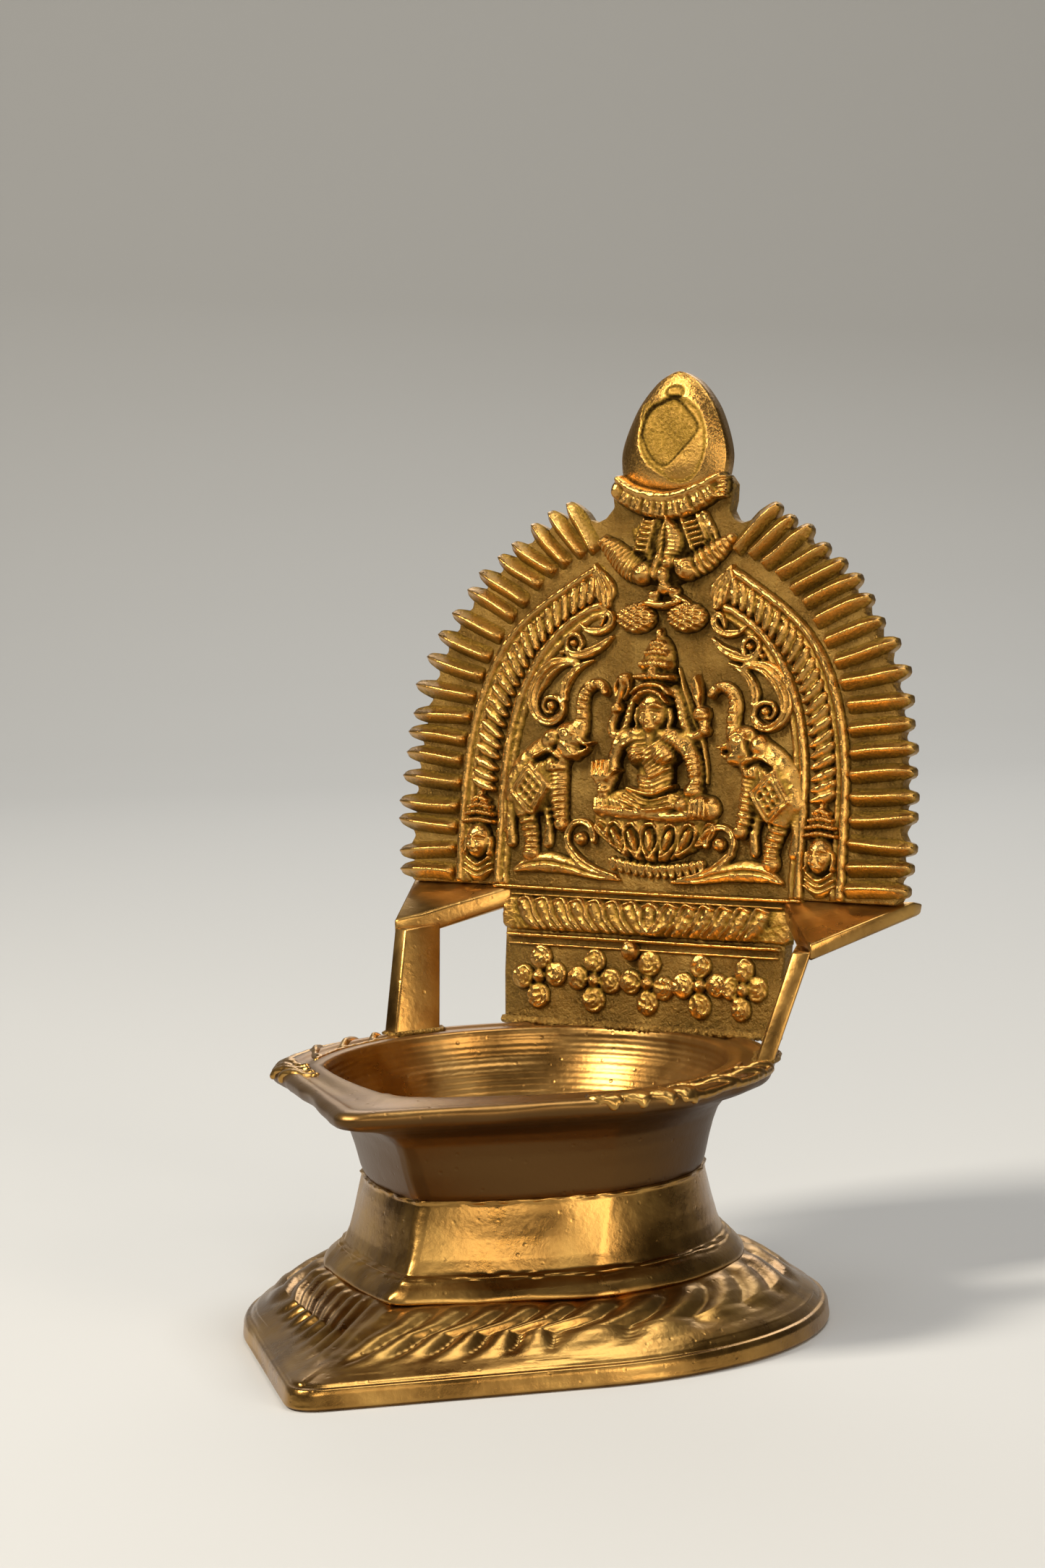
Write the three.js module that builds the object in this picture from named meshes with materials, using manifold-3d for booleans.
// Kamakshi lamp: a cast brass oil lamp. A bowl with a pointed front stands on a waisted stem and a
// flared, gadrooned foot. A leaning back plate with a rayed arch rises from the back of the rim and
// carries a seated goddess between two elephants, under a guardian mask and a pointed finial.
// Millimetres, +Z up, the point of the bowl towards -Y. The origin is the centre of the box's base.
import * as THREE from "three";
import { mergeVertices } from "three/addons/utils/BufferGeometryUtils.js";
import { ConvexGeometry } from "three/addons/geometries/ConvexGeometry.js";
import Module from "manifold-3d";

const wasm = await Module();
wasm.setup();

// Driving dimensions of the pedestal
const footRadius = 47.2; // round back of the foot
const footPoint = 68; // reach of the foot's point before it is rounded
const footEdge = 3.4; // height of the foot's upright edge
const flareHeight = 11.2; // top of the flare above the floor
const ledgeHeight = 3.4; // moulding between flare and stem
const stemHeight = 11.0; // ledge to waist
const cupHeight = 17.5; // waist to rim top
const wall = 2.6; // casting thickness
const gadroonCount = 34; // flutes round the flare
const gadroonRelief = 0.75;
const stemRadius = 28.2; // at the waist
const stemPoint = 33.2;

// Driving dimensions of the bowl
const bowlRadius = 33; // opening
const bowlPoint = 35.2; // reach of the opening's point
const bowlDepth = 14.6;
const rimWidth = 7.4; // flat of the rim round the back
const rimPoint = 51.2; // reach of the rim's point
const rimEdge = 2.4; // thickness of the rim's edge
const rimReliefHeight = 0.8;

// Driving dimensions of the back plate, measured up the leaning plate from the rim
const leanAngle = 10.33 * (Math.PI / 180);
const plateSetback = 33.9; // face of the plate behind the bowl's centre, at the rim
const plateThickness = 3;
const panelHeight = 22.3;
const panelHalfWidth = 26.4;
const archHalfWidth = 38.9; // centre to the inner end of the rays
const archRise = 58; // panel top to the crown of the arch
const rayCount = 19; // on each side
const rayLength = 12;
const rayRelief = 1.9;
const rayDepth = 2.6; // half the depth of a ray, front to back
const reliefDepth = 3.4; // highest relief of the figures
const neckHalfWidth = 12.4;
const finialHalfWidth = 10.2;
const finialHeight = 20;
const finialRelief = 1.5;

// Clearances
const seatGap = 0.3; // under a piece that rests on the leaning plate
const pieceGap = 0.35; // between two neighbours on the plate
const overrun = 40; // how far a cutting block runs past what it cuts
const weld = 0.0002; // vertices nearer than this are one
const facetTurn = 0.13; // keeps the facets of neighbouring forms from lining up
const finestFacet = 0.1; // detail finer than this is left out of the relief

// Heights that follow from the driving dimensions
const ledgeBase = flareHeight;
const stemBase = ledgeBase + ledgeHeight;
const waist = stemBase + stemHeight;
const rimTop = waist + cupHeight;
const rimRadius = bowlRadius + rimWidth;
const fieldHalfWidth = archHalfWidth * 0.782;
const archBase = panelHeight + pieceGap;
const archTop = archBase + archRise;

// Finishes
const polished = { color: 0xa9743f, roughness: 0.28, metalness: 1 };
const turned = { color: 0xb88147, roughness: 0.2, metalness: 1 };
const asCast = { color: 0xb8962f, roughness: 0.55, metalness: 1 };
const highlight = { color: 0xbc8448, roughness: 0.34, metalness: 1 };

const lamp = new THREE.Group();
const plate = new THREE.Group();
plate.rotation.x = Math.PI / 2 - leanAngle;
plate.position.set(0, plateSetback, rimTop);
lamp.add(plate);

function addPiece(parent, name, geometry, finish) {
  const mesh = new THREE.Mesh(geometry, new THREE.MeshStandardMaterial(finish));
  mesh.name = name;
  parent.add(mesh);
  return mesh;
}

// Solids: welding, joining and cutting

function weldedGeometry(geometry) {
  const bare = new THREE.BufferGeometry();
  bare.setAttribute("position", geometry.getAttribute("position").clone());
  if (geometry.index) bare.setIndex(geometry.index.clone());
  const welded = mergeVertices(bare, weld);
  const from = welded.index.array;
  const kept = [];
  for (let i = 0; i < from.length; i += 3) {
    const [a, b, c] = [from[i], from[i + 1], from[i + 2]];
    if (a !== b && b !== c && c !== a) kept.push(a, b, c);
  }
  welded.setIndex(kept);
  return welded;
}

function toSolid(geometry) {
  const welded = weldedGeometry(geometry);
  return new wasm.Manifold(
    new wasm.Mesh({
      numProp: 3,
      vertProperties: welded.getAttribute("position").array,
      triVerts: new Uint32Array(welded.index.array),
    }),
  );
}

function toGeometry(solid) {
  const mesh = solid.simplify(finestFacet).getMesh();
  const geometry = new THREE.BufferGeometry();
  geometry.setAttribute("position", new THREE.BufferAttribute(mesh.vertProperties, 3));
  geometry.setIndex(new THREE.BufferAttribute(mesh.triVerts, 1));
  geometry.computeVertexNormals();
  return geometry;
}

function joined(geometries) {
  return geometries.map(toSolid).reduce((whole, next) => whole.add(next));
}

function block(low, high) {
  const size = new THREE.Vector3().subVectors(high, low);
  const middle = new THREE.Vector3().addVectors(low, high).multiplyScalar(0.5);
  return new THREE.BoxGeometry(size.x, size.y, size.z).translate(middle.x, middle.y, middle.z);
}

// Everything on the plate is cut flat a seat's gap in front of the plate's face.
function seated(solid, level = seatGap) {
  const reach = archHalfWidth + rayLength + overrun;
  const low = new THREE.Vector3(-reach, -reach, -overrun);
  const high = new THREE.Vector3(reach, archTop + reach, level);
  return solid.subtract(toSolid(block(low, high)));
}

// A closed skin over rings of equal count, each ring running anticlockwise seen from its far side.
function loft(rings, { start, end, loop = false } = {}) {
  const count = rings[0].length;
  const points = rings.flat();
  const faces = [];
  const bands = loop ? rings.length : rings.length - 1;
  for (let i = 0; i < bands; i++) {
    const here = i * count;
    const next = ((i + 1) % rings.length) * count;
    for (let j = 0; j < count; j++) {
      const k = (j + 1) % count;
      faces.push(here + j, here + k, next + k);
      faces.push(here + j, next + k, next + j);
    }
  }
  const last = (rings.length - 1) * count;
  for (let j = 0; j < count; j++) {
    const k = (j + 1) % count;
    if (start) faces.push(points.length, k, j);
    if (end) faces.push(points.length + (start ? 1 : 0), last + j, last + k);
  }
  if (start) points.push(start);
  if (end) points.push(end);
  const geometry = new THREE.BufferGeometry().setFromPoints(points);
  geometry.setIndex(faces);
  geometry.computeVertexNormals();
  return geometry;
}

// Plan of the pedestal and the bowl: a round back, two flanks and a rounded point at the front

// Half of the plan, from the point to the middle of the back. The corner is where flank meets back.
function halfPlan({ radius, point, corner = 0, swell = 0, round = 0 }) {
  const tangent = Math.acos(Math.min(1, radius / point));
  const angle = Math.max(corner, tangent);
  const cornerPoint = new THREE.Vector2(radius * Math.sin(angle), -radius * Math.cos(angle));
  const apex = new THREE.Vector2(0, -point);
  const flank = new THREE.Vector2().subVectors(cornerPoint, apex);
  const outward = new THREE.Vector2(flank.y, -flank.x).normalize();
  const roundShare = round / flank.length();
  const onFlank = (t) =>
    apex.clone().addScaledVector(flank, t).addScaledVector(outward, 4 * swell * t * (1 - t));
  const flankStart = onFlank(roundShare);
  const mirrored = new THREE.Vector2(-flankStart.x, flankStart.y);
  const nose = new THREE.QuadraticBezierCurve(mirrored, apex, flankStart);
  const half = [];
  const noseSteps = 2;
  const flankSteps = 5;
  const backSteps = 13;
  for (let i = 0; i < noseSteps; i++) half.push(nose.getPoint(0.5 + (0.5 * i) / noseSteps));
  for (let i = 0; i < flankSteps; i++) {
    half.push(onFlank(roundShare + ((1 - roundShare) * i) / flankSteps));
  }
  for (let i = 0; i <= backSteps; i++) {
    const turn = angle + ((Math.PI - angle) * i) / backSteps;
    half.push(new THREE.Vector2(radius * Math.sin(turn), -radius * Math.cos(turn)));
  }
  half[0].x = 0;
  half[half.length - 1].x = 0;
  return half;
}

function planRing(plan, height) {
  const half = halfPlan(plan);
  const other = half
    .slice(1, -1)
    .reverse()
    .map((p) => new THREE.Vector2(-p.x, p.y));
  return [...half, ...other].map((p) => new THREE.Vector3(p.x, p.y, height));
}

// The same ring with its points spread evenly along it, starting at the front point.
function evenRing(ring, count) {
  const closed = [...ring, ring[0]];
  const lengths = [0];
  for (let i = 1; i < closed.length; i++) {
    lengths.push(lengths[i - 1] + closed[i].distanceTo(closed[i - 1]));
  }
  const total = lengths[lengths.length - 1];
  const even = [];
  let k = 1;
  for (let i = 0; i < count; i++) {
    const target = (total * i) / count;
    while (lengths[k] < target) k++;
    const t = (target - lengths[k - 1]) / (lengths[k] - lengths[k - 1]);
    even.push(new THREE.Vector3().lerpVectors(closed[k - 1], closed[k], t));
  }
  return even;
}

const stemPlan = { radius: stemRadius, point: stemPoint, corner: 1.0, swell: wall * 0.7, round: wall };

// A plan that is the waist's, grown evenly outwards
function grownPlan(growth, swell = 0.4 * wall) {
  const spread = stemRadius / stemPoint;
  return {
    ...stemPlan,
    radius: stemRadius + growth,
    point: stemPoint + growth / spread + growth * 0.35,
    corner: 0.9,
    swell,
  };
}

// Foot: an upright edge, a plain border and a flare with twisted gadroons, hollow underneath

function footFlare() {
  const pointsPerGadroon = 3;
  const count = gadroonCount * pointsPerGadroon;
  const topRadius = stemRadius + 1.7 * wall;
  const topPoint = stemPoint + 3.1 * wall;
  const run = footRadius - topRadius;
  const pointRun = footPoint - topPoint;
  // Each level as a share of the way in, a share of the flare's height and a share of the relief
  const levelShares = [
    [0, 0, 0],
    [0, 1, 0],
    [0.07, 1.12, 0],
    [0.25, 1.62, 0.25],
    [0.42, 2.1, 1],
    [0.66, 2.72, 1],
    [0.9, 3.18, 0.7],
  ];
  const level = ([inShare, riseShare, reliefShare], index) => {
    const plan = {
      radius: footRadius - run * inShare,
      point: footPoint - pointRun * inShare,
      corner: 0.9 * inShare,
      round: 2.4 * wall * (1 - inShare) + wall * inShare,
    };
    const height = Math.min(footEdge * riseShare, flareHeight - gadroonRelief);
    const ring = evenRing(planRing(plan, height), count);
    return ring.map((p, j) => {
      const turns = j / pointsPerGadroon + index * 0.42 * Math.sign(j / count - 0.5);
      const swell = gadroonRelief * reliefShare * Math.cos(2 * Math.PI * turns);
      const outward = new THREE.Vector3(p.x, p.y, 0).normalize();
      return p.clone().addScaledVector(outward, 0.4 * swell).setZ(p.z + swell);
    });
  };
  const outer = levelShares.map(level);
  const topPlan = { radius: topRadius, point: topPoint, corner: 0.9, round: wall };
  const innerPlan = (inset, point) => ({ radius: inset, point, corner: 0.9, round: wall });
  const top = evenRing(planRing(topPlan, flareHeight), count);
  const stemBore = innerPlan(stemRadius - wall, stemPoint - wall);
  const flareBore = innerPlan(footRadius - 2 * wall, footPoint - 3 * wall);
  const innerTop = evenRing(planRing(stemBore, flareHeight), count);
  const innerRoof = evenRing(planRing(stemBore, flareHeight - wall), count);
  const innerBase = evenRing(planRing(flareBore, 0), count);
  return loft([...outer, top, innerTop, innerRoof, innerBase], { loop: true });
}

function tube(sections, bore) {
  const outer = sections.map(([growth, height]) => planRing(grownPlan(growth), height));
  const low = sections[0][1];
  const high = sections[sections.length - 1][1];
  return loft([...outer, planRing(bore, high), planRing(bore, low)], { loop: true });
}

const bore = { ...stemPlan, radius: stemRadius - wall, point: stemPoint - wall, corner: 0.9 };
const ledgeGrowth = 1.45 * wall;
const stemBaseGrowth = wall;

// Ledge moulding: a step with a rounded bead along its lower edge
function ledge() {
  const beadShares = [
    [1, 0],
    [1.12, 0.14],
    [1.12, 0.4],
    [0.98, 0.56],
    [0.9, 0.8],
    [0.76, 1],
  ];
  const sections = beadShares.map(([growShare, heightShare]) => [
    ledgeGrowth * growShare,
    ledgeBase + ledgeHeight * heightShare,
  ]);
  return tube(sections, bore);
}

// Stem: tapers up to the waist, hollow
function stem() {
  const sections = [
    [stemBaseGrowth, stemBase],
    [stemBaseGrowth * 0.42, stemBase + stemHeight * 0.5],
    [0, waist],
  ];
  return tube(sections, bore);
}

addPiece(lamp, "foot_flare", footFlare(), polished);
addPiece(lamp, "ledge_moulding", ledge(), highlight);
addPiece(lamp, "stem", stem(), polished);

// Bowl: cup walls that rise from the waist, a flat rim with a pointed front, and a turned inside

const rimCorner = Math.PI / 3;
const mouthCorner = 1.24;
const rimPlan = { radius: rimRadius, point: rimPoint, corner: rimCorner, round: wall };
const mouthPlan = {
  radius: bowlRadius,
  point: bowlPoint,
  corner: mouthCorner,
  swell: wall * 0.4,
  round: 2 * wall,
};

function shrunkPlan(plan, inset) {
  return { ...plan, radius: plan.radius - inset, point: plan.point - inset * 1.2 };
}

function bowl() {
  const neck = rimTop - rimEdge - wall;
  const outside = [
    planRing(grownPlan(0), waist),
    planRing(grownPlan(wall * 0.35), waist + cupHeight * 0.3),
    planRing(grownPlan(wall), neck),
    planRing(shrunkPlan(rimPlan, rimWidth * 0.7), rimTop - rimEdge - wall * 0.35),
    planRing(shrunkPlan(rimPlan, wall * 0.1), rimTop - rimEdge),
    planRing(rimPlan, rimTop - rimEdge * 0.7),
    planRing(rimPlan, rimTop - rimEdge * 0.3),
    planRing(shrunkPlan(rimPlan, rimEdge * 0.3), rimTop),
  ];
  const floor = rimTop - bowlDepth;
  const inside = [
    planRing(mouthPlan, rimTop),
    planRing(shrunkPlan(mouthPlan, wall * 1.3), rimTop - rimEdge - wall),
    planRing(shrunkPlan(mouthPlan, wall * 2.1), floor + wall),
    planRing(shrunkPlan(mouthPlan, wall * 3.4), floor),
  ];
  const start = new THREE.Vector3(0, 0, waist);
  const end = new THREE.Vector3(0, 0, floor);
  return loft([...outside, ...inside], { start, end });
}

addPiece(lamp, "bowl", bowl(), turned);

// Rim ornament: four ridges across each corner of the rim and two leaves behind them

function rimOrnament(side) {
  const padHeight = rimReliefHeight * 0.4;
  const middle = (rimRadius + bowlRadius) / 2;
  const padShare = 0.34;
  const sweep = [];
  const padSteps = 10;
  const firstTurn = rimCorner + 0.05;
  const lastTurn = rimCorner + 0.92;
  for (let i = 0; i <= padSteps; i++) {
    const turn = firstTurn + ((lastTurn - firstTurn) * i) / padSteps;
    sweep.push([turn, middle - rimWidth * padShare, middle + rimWidth * padShare]);
  }
  const at = (turn, reach) =>
    new THREE.Vector2(side * reach * Math.sin(turn), -reach * Math.cos(turn));
  const outline = [
    ...sweep.map(([turn, , high]) => at(turn, high)),
    ...sweep.map(([turn, low]) => at(turn, low)).reverse(),
  ];
  const pad = new THREE.ExtrudeGeometry(new THREE.Shape(outline), {
    depth: padHeight,
    bevelEnabled: false,
  }).translate(0, 0, rimTop);
  const ridges = [];
  const ridgeCount = 4;
  const ridgeWidth = rimWidth * 0.1;
  for (let i = 0; i < ridgeCount; i++) {
    const turn = firstTurn + 0.04 + (i * rimWidth * 0.17) / middle;
    const from = at(turn, middle - rimWidth * 0.3);
    const to = at(turn, middle + rimWidth * 0.3);
    const base = rimTop + padHeight * 0.6;
    ridges.push(limb([lift(from, base), lift(to, base)], [ridgeWidth, ridgeWidth], 2, 6));
  }
  const leaves = [0.5, 0.74].map((turn) => {
    const centre = at(rimCorner + turn, middle);
    const leaf = ball(new THREE.Vector3(), [rimWidth * 0.28, rimWidth * 0.48, rimReliefHeight]);
    leaf.rotateZ(side * (rimCorner + turn - 0.5));
    return leaf.translate(centre.x, centre.y, rimTop + padHeight * 0.5);
  });
  const under = new THREE.Vector3(-overrun - rimRadius, -overrun - rimRadius, rimTop - overrun);
  const over = new THREE.Vector3(overrun + rimRadius, overrun + rimRadius, rimTop);
  return toGeometry(joined([pad, ...ridges, ...leaves]).subtract(toSolid(block(under, over))));
}

function lift(p, height) {
  return new THREE.Vector3(p.x, p.y, height);
}

// Round forms for the relief: balls, limbs that taper along a curve, and ribbons

function ball(centre, radii, sides = 8) {
  const shape = new THREE.SphereGeometry(1, sides, Math.ceil(sides * 0.6)).rotateX(facetTurn);
  return shape.scale(...radii).translate(centre.x, centre.y, centre.z);
}

function limb(points, radii, steps = 6, sides = 5) {
  const curve = new THREE.CatmullRomCurve3(points, false, "centripetal");
  const frames = curve.computeFrenetFrames(steps, false);
  const radiusAt = (t) => {
    const place = t * (radii.length - 1);
    const k = Math.min(Math.floor(place), radii.length - 2);
    return radii[k] + (radii[k + 1] - radii[k]) * (place - k);
  };
  const rings = [];
  for (let i = 0; i <= steps; i++) {
    const middle = curve.getPointAt(i / steps);
    const ring = [];
    for (let j = 0; j < sides; j++) {
      const turn = (2 * Math.PI * j) / sides;
      ring.push(
        middle
          .clone()
          .addScaledVector(frames.normals[i], radiusAt(i / steps) * Math.cos(turn))
          .addScaledVector(frames.binormals[i], radiusAt(i / steps) * Math.sin(turn)),
      );
    }
    rings.push(ring);
  }
  const end = curve.getPointAt(1).addScaledVector(frames.tangents[steps], radiusAt(1) * 0.7);
  const start = curve.getPointAt(0).addScaledVector(frames.tangents[0], -radiusAt(0) * 0.7);
  return loft(rings, { start, end });
}

// A flat strip of one width along a line of points, standing up from the seat
function ribbon(points, width, height, level = seatGap) {
  const curve = new THREE.CatmullRomCurve3(points, false, "centripetal");
  const steps = Math.round(points.length * 1.5);
  const left = [];
  const right = [];
  for (let i = 0; i <= steps; i++) {
    const p = curve.getPoint(i / steps);
    const along = curve.getTangent(i / steps);
    const across = new THREE.Vector2(-along.y, along.x).normalize().multiplyScalar(width / 2);
    left.push(new THREE.Vector2(p.x + across.x, p.y + across.y));
    right.push(new THREE.Vector2(p.x - across.x, p.y - across.y));
  }
  const shape = new THREE.Shape([...right, ...left.reverse()]);
  return new THREE.ExtrudeGeometry(shape, { depth: height, bevelEnabled: false }).translate(
    0,
    0,
    level,
  );
}

for (const [side, word] of [
  [-1, "left"],
  [1, "right"],
]) {
  addPiece(lamp, "rim_ornament_" + word, rimOrnament(side), highlight);
}

// Back plate: the lower panel stands on the rim, the rayed arch on the panel

// The panel's foot follows the flat of the rim although the panel leans.
function lowerPanel() {
  const shape = new THREE.Shape([
    new THREE.Vector2(-panelHalfWidth, 0),
    new THREE.Vector2(panelHalfWidth, 0),
    new THREE.Vector2(panelHalfWidth, panelHeight),
    new THREE.Vector2(-panelHalfWidth, panelHeight),
  ]);
  const depth = plateThickness;
  const geometry = new THREE.ExtrudeGeometry(shape, { depth, bevelEnabled: false });
  geometry.translate(0, 0, -depth);
  const places = geometry.getAttribute("position");
  for (let i = 0; i < places.count; i++) {
    if (places.getY(i) > 0) continue;
    places.setY(i, -places.getZ(i) * Math.tan(leanAngle) + seatGap);
  }
  return geometry;
}

// The arch's outline as a curve: upright sides, then a round head. The turn t runs from 0 at the
// foot of the right side to 1 at the crown, and inset moves the curve inwards.
const shoulderRise = archRise * 0.36;
function archPoint(t, inset) {
  const sideShare = 0.3;
  if (t < sideShare) {
    return new THREE.Vector2(archHalfWidth - inset, archBase + (shoulderRise * t) / sideShare);
  }
  const turn = ((t - sideShare) / (1 - sideShare)) * (Math.PI / 2);
  const across = (archHalfWidth - inset) * Math.cos(turn);
  const up = (archRise - shoulderRise - inset) * Math.sin(turn);
  return new THREE.Vector2(across, archBase + shoulderRise + up);
}

function archAngle(t) {
  const step = 0.01;
  const ahead = archPoint(t + step, 0);
  const behind = archPoint(t - step, 0);
  return Math.atan2(ahead.x - behind.x, behind.y - ahead.y) + Math.PI;
}

// Evenly spread places for the rays, from the foot of the arch to the neck
const lastRay = 0.835;
function rayPlaces() {
  const dense = [];
  const steps = 200;
  for (let i = 0; i <= steps; i++) dense.push(archPoint((lastRay * i) / steps, -rayLength));
  const lengths = [0];
  for (let i = 1; i <= steps; i++) {
    lengths.push(lengths[i - 1] + dense[i].distanceTo(dense[i - 1]));
  }
  const pitch = lengths[steps] / rayCount;
  const places = [];
  for (let k = 0; k < rayCount; k++) {
    const target = pitch * (k + 0.5);
    const i = lengths.findIndex((length) => length >= target);
    const between = (target - lengths[i - 1]) / (lengths[i] - lengths[i - 1]);
    places.push((lastRay * (i - 1 + between)) / steps);
  }
  return { places, pitch };
}

const { places: rayTurns, pitch: rayPitch } = rayPlaces();

// The plate's edge lies in the valleys between the rays; the rays run on past it to their tips.
function archSide(side) {
  const steps = 26;
  const edge = [];
  for (let i = 0; i <= steps; i++) {
    const p = archPoint((lastRay * i) / steps, -rayLength * 0.76);
    edge.push(new THREE.Vector2(side * p.x, p.y));
  }
  return edge;
}

function ray(turn, side) {
  const inner = archPoint(turn, -rayLength * 0.12);
  const outer = archPoint(turn, -rayLength * 0.93);
  const tip = archPoint(turn, -rayLength);
  const width = rayPitch * 0.36;
  const middle = (rayRelief - plateThickness) / 2;
  const along = new THREE.Vector2().subVectors(outer, inner).normalize();
  const across = new THREE.Vector3(-along.y, along.x, 0);
  const section = (p, share, depthShare) => {
    const ring = [];
    const sides = 6;
    for (let j = 0; j < sides; j++) {
      const angle = (2 * Math.PI * (j + 0.5)) / sides;
      const place = new THREE.Vector3(p.x, p.y, middle + rayDepth * depthShare * Math.sin(angle));
      ring.push(place.addScaledVector(across, width * share * Math.cos(angle)));
    }
    return mirroredLine(side, ring);
  };
  const [start, end] = mirroredLine(side, [lift(inner, middle), lift(tip, middle)]);
  const rings = [section(inner, 1, 0.85), section(outer, 0.72, 0.72)];
  return loft(side > 0 ? rings : rings.map((ring) => ring.reverse()), { start, end });
}

const neckTop = archTop + rayLength * 0.82;

function rayedArch() {
  const rightSide = archSide(1);
  const leftSide = archSide(-1).reverse();
  const neckShares = [
    [1.2, 0.55],
    [1, 0.62],
    [0.86, 0.8],
    [0.84, 1],
  ];
  const neckPoint = (side, [acrossShare, upShare]) =>
    new THREE.Vector2(side * neckHalfWidth * acrossShare, archTop + (neckTop - archTop) * upShare);
  const outline = [
    ...rightSide,
    ...neckShares.map((share) => neckPoint(1, share)),
    ...neckShares.map((share) => neckPoint(-1, share)).reverse(),
    ...leftSide,
  ];
  const depth = plateThickness;
  const slab = new THREE.ExtrudeGeometry(new THREE.Shape(outline), { depth, bevelEnabled: false });
  slab.translate(0, 0, -depth);
  const bars = [1, -1].flatMap((side) => rayTurns.map((turn) => ray(turn, side)));
  const reach = archHalfWidth + rayLength + overrun;
  const behind = block(
    new THREE.Vector3(-reach, -reach, -depth - overrun),
    new THREE.Vector3(reach, archTop + reach, -depth),
  );
  const below = block(
    new THREE.Vector3(-reach, archBase - overrun, -overrun),
    new THREE.Vector3(reach, archBase, overrun),
  );
  const whole = joined([slab, ...bars]);
  return toGeometry(whole.subtract(toSolid(behind)).subtract(toSolid(below)));
}

addPiece(plate, "lower_panel", lowerPanel(), asCast);
addPiece(plate, "rayed_arch", rayedArch(), asCast);

// Shoulders and struts: a shelf under each foot of the arch runs forward to a strut on the rim

// A place on the plate, measured across, up and out of its face, in the lamp's own frame
function onPlate(across, up, out) {
  return new THREE.Vector3(
    across,
    plateSetback + up * Math.sin(leanAngle) - out * Math.cos(leanAngle),
    rimTop + up * Math.cos(leanAngle) + out * Math.sin(leanAngle),
  );
}

const shelfThickness = 2.6;
const strutThickness = 3.2;
const strutDepth = 7.6; // along its wide inner face, at the rim
const strutTopDepth = 5.4;
const strutDrop = 5.2; // fall of the shelf towards the strut
const strutSetIn = 9.6; // strut behind the widest part of the rim, across
const strutReach = 14.2; // strut's front above the rim, behind the bowl's centre
const strutLean = 7.6; // strut's head behind its foot

function strutSection(depth, place, height, spread) {
  const wide = new THREE.Vector2(-0.44, 0.9).normalize();
  const thin = new THREE.Vector2(0.9, 0.44).normalize();
  const front = place.clone();
  const back = front.clone().addScaledVector(wide, depth);
  return [front, back]
    .flatMap((p) => [p, p.clone().addScaledVector(thin, strutThickness)])
    .map((p) => new THREE.Vector3(p.x + spread, p.y, height));
}

function mirroredFor(side, points) {
  return points.map((p) => new THREE.Vector3(side * p.x, p.y, p.z));
}

const strutFoot = new THREE.Vector2(rimRadius - strutSetIn + strutThickness, strutReach);
const strutHead = new THREE.Vector2(strutFoot.x + 1.2 * strutThickness, strutReach + strutLean);
const shelfRear = onPlate(0, panelHeight - pieceGap, 0).z;
const strutHeadHeight = shelfRear - strutDrop;

function strut(side) {
  const foot = strutSection(strutDepth, strutFoot, rimTop, 0);
  const topHeight = strutHeadHeight - shelfThickness - seatGap;
  const head = strutSection(strutTopDepth, strutHead, topHeight, 0);
  return new ConvexGeometry(mirroredFor(side, [...foot, ...head]));
}

function shoulder(side) {
  const inner = panelHalfWidth + pieceGap;
  const outer = archHalfWidth + rayLength * 0.72;
  const up = panelHeight - pieceGap;
  const rear = [inner, outer].map((across) => onPlate(across, up, -plateThickness));
  const face = [inner, outer].map((across) => onPlate(across, up, 0));
  const head = strutSection(strutTopDepth, strutHead, strutHeadHeight, 0);
  const front = head.slice(0, 2);
  const top = [...rear, ...face, ...front];
  const under = top.map((p) => new THREE.Vector3(p.x, p.y, p.z - shelfThickness));
  return new ConvexGeometry(mirroredFor(side, [...top, ...under]));
}

for (const [side, word] of [
  [-1, "left"],
  [1, "right"],
]) {
  addPiece(lamp, "shoulder_" + word, shoulder(side), polished);
  addPiece(lamp, "strut_" + word, strut(side), polished);
}

// Finial: a pointed egg above the neck, with a segmented collar round its base

const finialBase = neckTop + pieceGap;

function finial() {
  const mid = finialBase + finialHeight * 0.34;
  const top = finialBase + finialHeight;
  const baseHalf = finialHalfWidth * 0.86;
  const low = finialBase + finialHeight * 0.12;
  const swell = new THREE.QuadraticBezierCurve(
    new THREE.Vector2(baseHalf, finialBase),
    new THREE.Vector2(finialHalfWidth, low),
    new THREE.Vector2(finialHalfWidth, mid),
  );
  const taper = new THREE.QuadraticBezierCurve(
    new THREE.Vector2(finialHalfWidth, mid),
    new THREE.Vector2(baseHalf, top - finialHeight * 0.24),
    new THREE.Vector2(0, top),
  );
  const steps = 7;
  const half = [...swell.getPoints(steps).slice(0, -1), ...taper.getPoints(steps)];
  const other = half.slice(0, -1).reverse();
  const outline = [...half, ...other.map((p) => new THREE.Vector2(-p.x, p.y))];
  // The face is domed: each ring is the outline drawn in towards the middle of the egg
  const domeShares = [
    [1, 0],
    [0.95, 0.5],
    [0.84, 0.85],
    [0.6, 1],
  ];
  const ring = (share, out) =>
    outline.map((p) => new THREE.Vector3(p.x * share, mid + (p.y - mid) * share, out));
  const rings = domeShares.map(([share, riseShare]) => ring(share, finialRelief * riseShare));
  const start = new THREE.Vector3(0, mid, -plateThickness);
  const end = new THREE.Vector3(0, mid, finialRelief);
  return loft([ring(1, -plateThickness), ...rings], { start, end });
}

const collarSegments = 9;
const collarWidth = 4.2;

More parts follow.
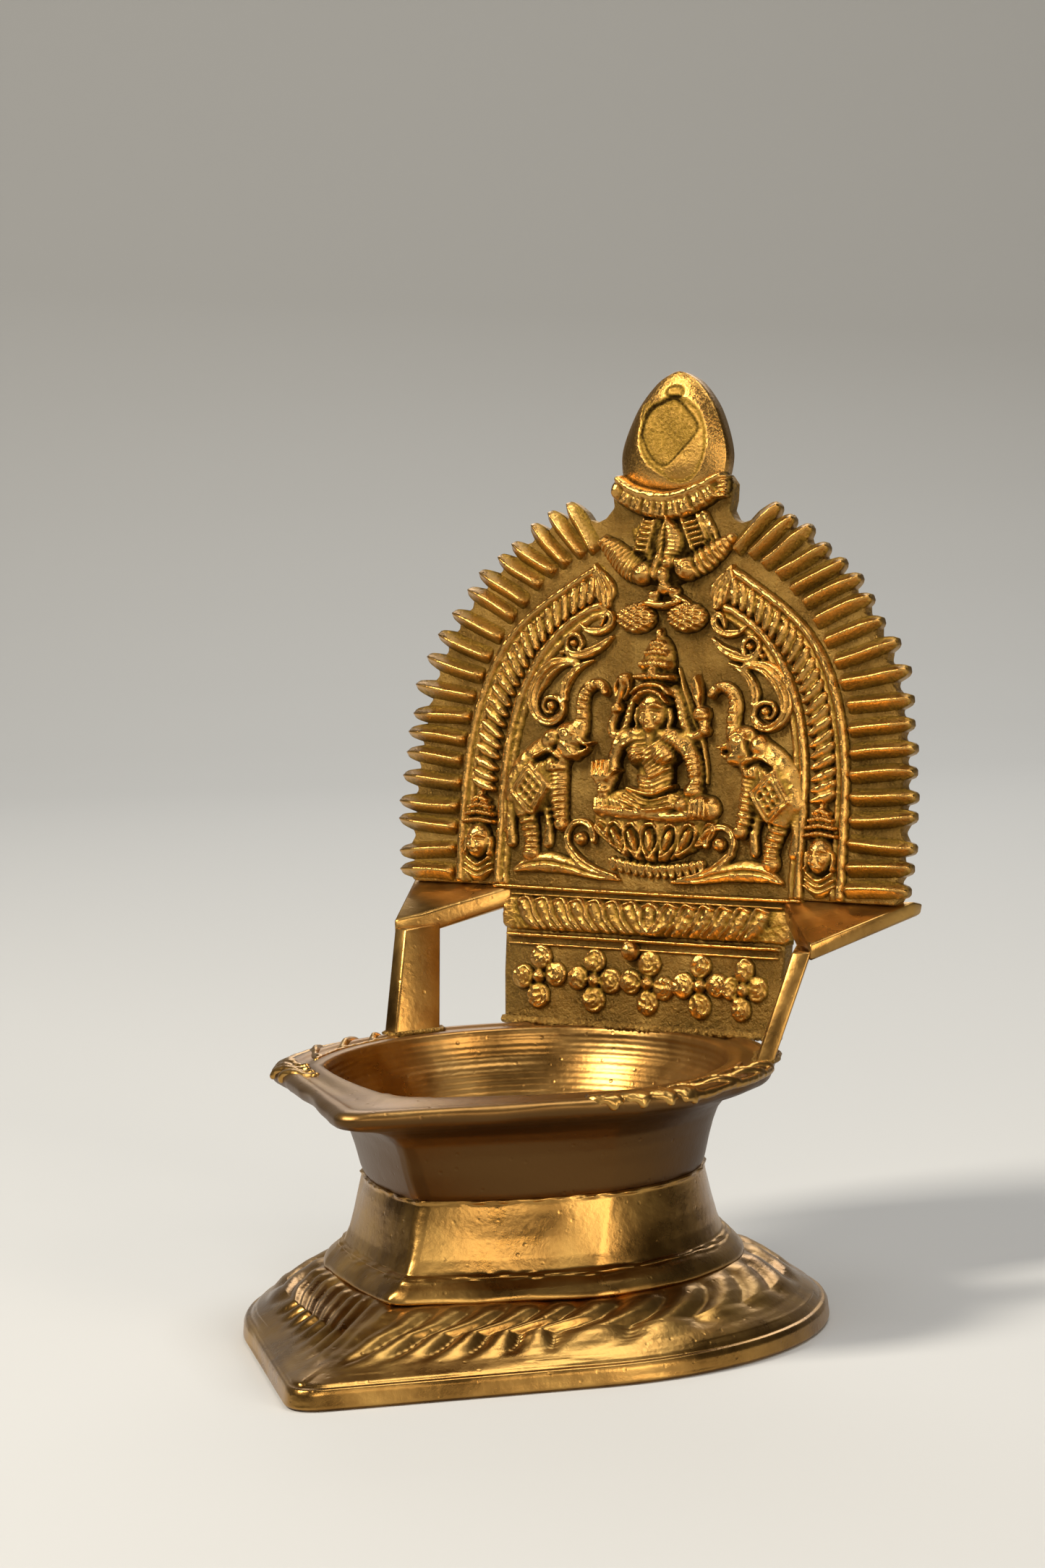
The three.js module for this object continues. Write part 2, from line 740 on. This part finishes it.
function finialCollar() {
  const spread = finialHalfWidth * 0.98;
  const sag = collarWidth * 0.55;
  const level = finialRelief + seatGap;
  const centreLine = (t) =>
    new THREE.Vector3(spread * t, neckTop - collarWidth * 0.1 - sag * (1 - t * t), level);
  const backing = ribbon(
    [-1, -0.6, -0.2, 0.2, 0.6, 1].map(centreLine),
    collarWidth * 0.8,
    reliefDepth * 0.35,
    level,
  );
  const teeth = [];
  for (let i = 0; i < collarSegments; i++) {
    const t = -0.9 + (1.8 * i) / (collarSegments - 1);
    const centre = centreLine(t).setZ(level + reliefDepth * 0.3);
    const radii = [(spread / collarSegments) * 0.92, collarWidth * 0.5, reliefDepth * 0.3];
    teeth.push(ball(centre, radii, 6));
  }
  return toGeometry(seated(joined([backing, ...teeth]), level));
}

addPiece(plate, "finial", finial(), polished);
addPiece(plate, "finial_collar", finialCollar(), highlight);

// Arch mouldings: an outer and an inner ridge on each side with a rope band between them

const mouldingWidth = 1;
const mouldingHeight = 1.1;
const outerInset = 0.9;
const innerInset = archHalfWidth - fieldHalfWidth;
const headHeight = 14.5; // tall field of a corner head
const bandStart = 0.13;

function archLine(inset, from, to, steps) {
  const line = [];
  for (let i = 0; i <= steps; i++) {
    const p = archPoint(from + ((to - from) * i) / steps, inset);
    line.push(new THREE.Vector3(p.x, p.y, 0));
  }
  return line;
}

function mirroredLine(side, line) {
  return line.map((p) => new THREE.Vector3(side * p.x, p.y, p.z));
}

function archRidge(side, inset, to) {
  const line = mirroredLine(side, archLine(inset, 0.02, to, 11));
  return ribbon(line, mouldingWidth, mouldingHeight);
}

// The rope band: a strip whose two edges rise and fall half a turn apart, which slants its bars.
function ropeBand(side) {
  const from = bandStart + headHeight / archRise;
  const to = 0.785;
  const bars = 24;
  const stepsPerBar = 3;
  const steps = bars * stepsPerBar;
  const middle = (outerInset + innerInset) / 2;
  const halfBand = (innerInset - outerInset - mouldingWidth) / 2 - pieceGap;
  const rings = [];
  for (let i = 0; i <= steps; i++) {
    const t = from + ((to - from) * i) / steps;
    const wave = (shift) => 0.6 + 0.4 * Math.cos((2 * Math.PI * i) / stepsPerBar + shift);
    const outer = archPoint(t, middle - halfBand);
    const inner = archPoint(t, middle + halfBand);
    const high = mouldingHeight * 1.2;
    const ring = [
      new THREE.Vector3(side * outer.x, outer.y, seatGap),
      new THREE.Vector3(side * inner.x, inner.y, seatGap),
      new THREE.Vector3(side * inner.x, inner.y, seatGap + high * wave(1.4)),
      new THREE.Vector3(side * outer.x, outer.y, seatGap + high * wave(-1.4)),
    ];
    rings.push(side > 0 ? ring : ring.reverse());
  }
  const middleOf = (ring) =>
    ring.reduce((sum, p) => sum.add(p), new THREE.Vector3()).multiplyScalar(1 / ring.length);
  const start = middleOf(rings[0]);
  const end = middleOf(rings[rings.length - 1]);
  return loft(rings, { start, end });
}

function leafCap(side) {
  const place = archPoint(0.838, (outerInset + innerInset) / 2);
  const centre = new THREE.Vector3(side * place.x, place.y, seatGap);
  const long = (innerInset - outerInset - mouldingWidth) / 2 - pieceGap;
  const leaf = ball(new THREE.Vector3(), [long, long * 0.8, reliefDepth * 0.5]);
  leaf.rotateZ(side * -0.9).translate(centre.x, centre.y, centre.z);
  return toGeometry(seated(toSolid(leaf)));
}

for (const [side, word] of [
  [-1, "left"],
  [1, "right"],
]) {
  addPiece(plate, "outer_moulding_" + word, archRidge(side, outerInset, 0.84), highlight);
  addPiece(plate, "inner_moulding_" + word, archRidge(side, innerInset, 0.84), highlight);
  addPiece(plate, "rope_band_" + word, ropeBand(side), highlight);
  addPiece(plate, "leaf_cap_" + word, leafCap(side), highlight);
}

// Figures: each is a table of shares of the figure's frame, measured from the middle of its foot.
// A ball is [across, up, out, and its three radii]; a limb is a list of [across, up, out, radius].
// What lies across is a share of the frame's width, what lies up of its height, and a limb's
// radius a share of the mean of the two.

function figure({ balls = [], limbs = [] }, { width, height, across, up, depth, side = 1 }) {
  const place = ([x, v, w]) =>
    new THREE.Vector3(across + side * x * width, up + v * height, seatGap + w * depth);
  const parts = balls.map(([x, v, w, ...radii]) =>
    ball(place([x, v, w]), [radii[0] * width, radii[1] * height, radii[2] * depth], 6),
  );
  for (const line of limbs) {
    const radii = line.map((p) => (p[3] * (width + height)) / 2);
    parts.push(limb(line.map(place), radii, line.length + 1));
  }
  return seated(joined(parts));
}

const goddessShares = {
  balls: [
    [-0.22, 0.075, 0.25, 0.17, 0.07, 0.5],
    [0.24, 0.075, 0.25, 0.17, 0.07, 0.5],
    [0.01, 0.095, 0.3, 0.2, 0.08, 0.6],
    [0, 0.24, 0.3, 0.115, 0.16, 0.5],
    [0, 0.38, 0.35, 0.15, 0.1, 0.55],
    [0, 0.46, 0.25, 0.18, 0.05, 0.4],
    [0, 0.61, 0.45, 0.095, 0.125, 0.5],
    [0, 0.745, 0.4, 0.105, 0.05, 0.42],
    [0, 0.82, 0.35, 0.08, 0.065, 0.38],
    [0, 0.91, 0.3, 0.048, 0.09, 0.3],
    [-0.23, 0.75, 0.25, 0.038, 0.07, 0.25],
    [0.26, 0.75, 0.25, 0.038, 0.07, 0.25],
    [-0.28, 0.345, 0.3, 0.05, 0.055, 0.25],
  ],
  limbs: [
    [
      [-0.16, 0.44, 0.2, 0.045],
      [-0.25, 0.28, 0.3, 0.04],
      [-0.28, 0.34, 0.3, 0.04],
    ],
    [
      [0.16, 0.44, 0.2, 0.045],
      [0.26, 0.26, 0.3, 0.04],
      [0.27, 0.12, 0.4, 0.035],
    ],
    [
      [-0.13, 0.46, 0.1, 0.04],
      [-0.24, 0.5, 0.15, 0.035],
      [-0.23, 0.68, 0.2, 0.03],
    ],
    [
      [0.13, 0.46, 0.1, 0.04],
      [0.26, 0.5, 0.15, 0.035],
      [0.26, 0.68, 0.2, 0.03],
    ],
  ],
};

const elephantShares = {
  balls: [
    [-0.14, 0.43, 0.3, 0.17, 0.19, 0.6],
    [-0.17, 0.3, 0.3, 0.13, 0.14, 0.55],
    [0.06, 0.68, 0.4, 0.12, 0.12, 0.6],
    [-0.01, 0.62, 0.5, 0.08, 0.11, 0.5],
  ],
  limbs: [
    [
      [-0.22, 0.28, 0.3, 0.062],
      [-0.25, 0.15, 0.3, 0.056],
      [-0.22, 0.03, 0.3, 0.06],
    ],
    [
      [-0.04, 0.34, 0.3, 0.058],
      [0, 0.17, 0.3, 0.05],
      [0.02, 0.03, 0.3, 0.055],
    ],
    [
      [0.11, 0.68, 0.4, 0.07],
      [0.15, 0.82, 0.35, 0.05],
      [0.21, 0.96, 0.3, 0.04],
      [0.31, 0.965, 0.3, 0.035],
      [0.34, 0.88, 0.3, 0.03],
    ],
    [
      [0.14, 0.6, 0.5, 0.03],
      [0.22, 0.58, 0.6, 0.015],
    ],
  ],
};

const cornerHeadShares = {
  balls: [
    [0, 0.4, 0.35, 0.16, 0.25, 0.6],
    [0, 0.68, 0.3, 0.17, 0.1, 0.5],
    [0, 0.85, 0.25, 0.11, 0.13, 0.4],
    [0, 0.1, 0.2, 0.19, 0.09, 0.35],
    [-0.13, 0.32, 0.15, 0.055, 0.2, 0.3],
    [0.13, 0.32, 0.15, 0.055, 0.2, 0.3],
  ],
};

const maskShares = {
  balls: [
    [-0.27, 0.56, 0.4, 0.11, 0.1, 0.5],
    [0.22, 0.56, 0.4, 0.11, 0.1, 0.5],
    [-0.02, 0.46, 0.5, 0.13, 0.16, 0.6],
    [0, 0.84, 0.3, 0.12, 0.17, 0.4],
    [0, 0.66, 0.3, 0.28, 0.09, 0.4],
    [0, 0.7, 0.1, 0.38, 0.2, 0.6],
    [-0.02, 0.54, 0, 0.3, 0.16, 0.5],
  ],
  limbs: [
    [
      [-0.56, 0.78, 0.2, 0.07],
      [-0.42, 0.62, 0.3, 0.085],
      [-0.15, 0.55, 0.3, 0.08],
    ],
    [
      [0.56, 0.78, 0.2, 0.07],
      [0.4, 0.62, 0.3, 0.085],
      [0.15, 0.55, 0.3, 0.08],
    ],
    [
      [-0.26, 0.94, 0.12, 0.045],
      [-0.22, 0.62, 0.12, 0.045],
    ],
    [
      [0.26, 0.94, 0.12, 0.045],
      [0.28, 0.62, 0.12, 0.045],
    ],
  ],
};

const goddessHeight = archRise * 0.52;
const goddessWidth = fieldHalfWidth * 0.9915;
const goddessFoot = archBase + archRise * 0.212;
const seatHeight = archRise * 0.115;
const elephantHeight = archRise * 0.5;
const elephantWidth = fieldHalfWidth * 0.9533;
const elephantFoot = archBase + archRise * 0.115;
const elephantAcross = fieldHalfWidth * 0.665;
const maskHeight = archRise * 0.32;
const maskWidth = archHalfWidth * 0.477;
const maskFoot = neckTop - collarWidth * 1.105 - maskHeight; // its crown stays under the collar

addPiece(
  plate,
  "goddess",
  toGeometry(
    figure(goddessShares, {
      width: goddessWidth,
      height: goddessHeight,
      across: 0,
      up: goddessFoot,
      depth: reliefDepth,
    }),
  ),
  highlight,
);

// Lotus seat: a half bowl of upright petals under the goddess
function lotusSeat() {
  const petals = [];
  const petalCount = 7;
  const half = goddessWidth * 0.36;
  for (let i = 0; i < petalCount; i++) {
    const t = -1 + (2 * i) / (petalCount - 1);
    const centre = new THREE.Vector3(
      half * 0.78 * t,
      goddessFoot - seatHeight * (0.42 - 0.1 * t * t),
      seatGap + reliefDepth * 0.3 * (1 - 0.6 * t * t),
    );
    const petal = ball(new THREE.Vector3(), [half * 0.15, seatHeight * 0.5, reliefDepth * 0.4], 6);
    petals.push(petal.rotateZ(-0.5 * t).translate(centre.x, centre.y, centre.z));
  }
  const core = ball(
    new THREE.Vector3(0, goddessFoot, seatGap),
    [half * 0.95, seatHeight * 0.85, reliefDepth * 0.45],
    12,
  );
  const low = new THREE.Vector3(-overrun, goddessFoot - pieceGap, -overrun);
  const high = new THREE.Vector3(overrun, goddessFoot + overrun, overrun);
  const above = toSolid(block(low, high));
  return toGeometry(seated(joined([core, ...petals])).subtract(above));
}

addPiece(plate, "lotus_seat", lotusSeat(), highlight);

addPiece(
  plate,
  "kirtimukha",
  toGeometry(
    figure(maskShares, {
      width: maskWidth,
      height: maskHeight,
      across: 0,
      up: maskFoot,
      depth: reliefDepth,
    }),
  ),
  highlight,
);

// Scrolls: a stem that ends in a spiral, with a side curl

function spiral(centre, radius, turns, begin, handed) {
  const points = [];
  const steps = Math.round(turns * 7);
  for (let i = 0; i <= steps; i++) {
    const turn = begin + (handed * 2 * Math.PI * turns * i) / steps;
    const reach = radius * (1 - (0.82 * i) / steps);
    const x = centre.x + reach * Math.cos(turn);
    const y = centre.y + reach * Math.sin(turn);
    points.push(new THREE.Vector3(x, y, seatGap));
  }
  return points;
}

function scroll(side, stemLine, radius, handed) {
  const last = stemLine[stemLine.length - 1];
  const before = stemLine[stemLine.length - 2];
  const heading = new THREE.Vector3().subVectors(last, before).normalize();
  const inward = new THREE.Vector3(-heading.y * handed, heading.x * handed, 0);
  const centre = last.clone().addScaledVector(inward, radius);
  const begin = Math.atan2(last.y - centre.y, last.x - centre.x);
  const coil = spiral(centre, radius, 0.95, begin, handed);
  const line = mirroredLine(side, [...stemLine, ...coil.slice(1)]);
  const thick = radius * 0.3;
  return limb(line, [thick * 0.8, thick * 1.2, thick * 1.1, thick], line.length, 5);
}

const fieldRise = archRise - innerInset; // panel top to the crown of the inner moulding
const upperScrollRadius = fieldRise * 0.0553;
const groundScrollRadius = fieldHalfWidth * 0.085;

// A plume springs from beside the mask, runs along the arch and curls in over its end.
function upperScroll(side) {
  const at = (acrossShare, riseShare) =>
    new THREE.Vector3(fieldHalfWidth * acrossShare, archBase + fieldRise * riseShare, seatGap);
  const plume = scroll(
    side,
    [at(0.38, 0.82), at(0.52, 0.796), at(0.66, 0.738), at(0.76, 0.673)],
    upperScrollRadius,
    -1,
  );
  const thick = upperScrollRadius * 0.3;
  const curl = mirroredLine(side, [at(0.36, 0.884), at(0.49, 0.873), at(0.6, 0.843)]);
  const spine = mirroredLine(side, [at(0.37, 0.916), at(0.36, 0.878), at(0.39, 0.82)]);
  const parts = [curl, spine].map((line) => limb(line, [thick, thick * 1.2, thick * 0.7], 4));
  return toGeometry(seated(joined([plume, ...parts])));
}

function groundScroll(side) {
  const at = (acrossShare, riseShare) =>
    new THREE.Vector3(fieldHalfWidth * acrossShare, archBase + archRise * riseShare, seatGap);
  const curl = scroll(
    side,
    [at(0.26, 0.065), at(0.38, 0.08), at(0.48, 0.12)],
    groundScrollRadius,
    1,
  );
  const ledgeLine = mirroredLine(side, [at(0.24, 0.05), at(0.5, 0.085), at(0.82, 0.065)]);
  const thick = groundScrollRadius * 0.3;
  const bank = limb(ledgeLine, [thick, thick * 1.2, thick * 0.8], 5, 5);
  return toGeometry(seated(joined([curl, bank])));
}

const gridBallWidth = maskWidth * 0.19;
const gridBallHeight = maskHeight * 0.19;
const headWidth = (innerInset - outerInset) * 1.913;

for (const [side, word] of [
  [-1, "left"],
  [1, "right"],
]) {
  const elephant = figure(elephantShares, {
    width: elephantWidth,
    height: elephantHeight,
    across: side * elephantAcross,
    up: elephantFoot,
    depth: reliefDepth * 0.8,
    side: -side,
  });
  addPiece(plate, "elephant_" + word, toGeometry(elephant), highlight);
  const head = figure(cornerHeadShares, {
    width: headWidth,
    height: headHeight,
    across: side * (archHalfWidth - (outerInset + innerInset) / 2),
    up: archBase + headHeight * 0.08,
    depth: reliefDepth * 0.75,
  });
  addPiece(plate, "corner_head_" + word, toGeometry(head), highlight);
  addPiece(plate, "upper_scroll_" + word, upperScroll(side), highlight);
  addPiece(plate, "ground_scroll_" + word, groundScroll(side), highlight);
  const ballCentre = new THREE.Vector3(side * gridBallWidth * 1.35, maskFoot, seatGap);
  const gridBall = ball(ballCentre, [gridBallWidth, gridBallHeight, reliefDepth * 0.6]);
  addPiece(plate, "garland_ball_" + word, toGeometry(seated(toSolid(gridBall))), highlight);
}

// Panel ornament: a ridge at the top, a slanting gadroon band, a second ridge, five flowers, a bud

const bandHeight = panelHeight * 0.255;
const bandLow = panelHeight * 0.665;
const gadroonBars = 18;

function panelRidge(up) {
  const reach = panelHalfWidth * 0.97;
  const ends = [-reach, reach].map((x) => new THREE.Vector3(x, up, seatGap));
  const width = mouldingWidth * 0.45;
  return toGeometry(seated(toSolid(limb(ends, [width, width], 1, 8))));
}

function gadroonBand() {
  const stepsPerBar = 3;
  const steps = gadroonBars * stepsPerBar;
  const half = panelHalfWidth * 0.985;
  const rings = [];
  const acrossShares = [0, 0.33, 0.67, 1];
  for (let i = 0; i <= steps; i++) {
    const x = -half + (2 * half * i) / steps;
    const crest = acrossShares.map((share) => {
      const phase = (2 * Math.PI * i) / stepsPerBar + 2.4 * (share - 0.5);
      const round = Math.sin(Math.PI * (0.15 + 0.7 * share));
      const rise = reliefDepth * 0.3 * (0.35 + 0.65 * round * (0.5 + 0.5 * Math.cos(phase)));
      return new THREE.Vector3(x, bandLow + bandHeight * share, seatGap + rise);
    });
    const top = new THREE.Vector3(x, bandLow + bandHeight, seatGap);
    const foot = new THREE.Vector3(x, bandLow, seatGap);
    rings.push([foot, ...crest, top]);
  }
  const middleOf = (ring) =>
    ring.reduce((sum, p) => sum.add(p), new THREE.Vector3()).multiplyScalar(1 / ring.length);
  const reversed = rings.map((ring) => ring.reverse());
  return loft(reversed, { start: middleOf(rings[0]), end: middleOf(rings[rings.length - 1]) });
}

const flowerUp = panelHeight * 0.345;
const petalAcross = panelHalfWidth * 0.0735;
const petalUp = panelHeight * 0.087;
const petalRelief = petalUp * 0.7;

function flower(across) {
  const parts = [];
  for (let i = 0; i < 4; i++) {
    const turn = (Math.PI / 2) * i;
    const centre = new THREE.Vector3(
      across + petalAcross * 1.5 * Math.cos(turn),
      flowerUp + petalUp * 1.5 * Math.sin(turn),
      seatGap,
    );
    parts.push(ball(centre, [petalAcross, petalUp, petalRelief], 6));
  }
  const heart = new THREE.Vector3(across, flowerUp, seatGap + petalRelief * 0.3);
  parts.push(ball(heart, [petalAcross * 0.85, petalUp * 0.85, petalRelief * 1.14], 7));
  return toGeometry(seated(joined(parts)));
}

addPiece(plate, "panel_top_ridge", panelRidge(panelHeight * 0.968), highlight);
addPiece(plate, "gadroon_band", gadroonBand(), highlight);
addPiece(plate, "panel_low_ridge", panelRidge(panelHeight * 0.63), highlight);

const flowerShares = [-0.78, -0.385, 0.01, 0.4, 0.77];
flowerShares.forEach((share, i) => {
  addPiece(plate, "flower_" + (i + 1), flower(panelHalfWidth * share), highlight);
});

const budPlace = new THREE.Vector3(-panelHalfWidth * 0.09, panelHeight * 0.545, seatGap);
const bud = ball(budPlace, [petalAcross * 0.5, petalUp * 0.5, petalRelief * 0.86], 7);
addPiece(plate, "bud", toGeometry(seated(toSolid(bud))), highlight);

// The origin is the centre of the base of the lamp's box.
lamp.updateMatrixWorld(true);
const box = new THREE.Box3().setFromObject(lamp, true);
lamp.position.y = -(box.min.y + box.max.y) / 2;

export default lamp;
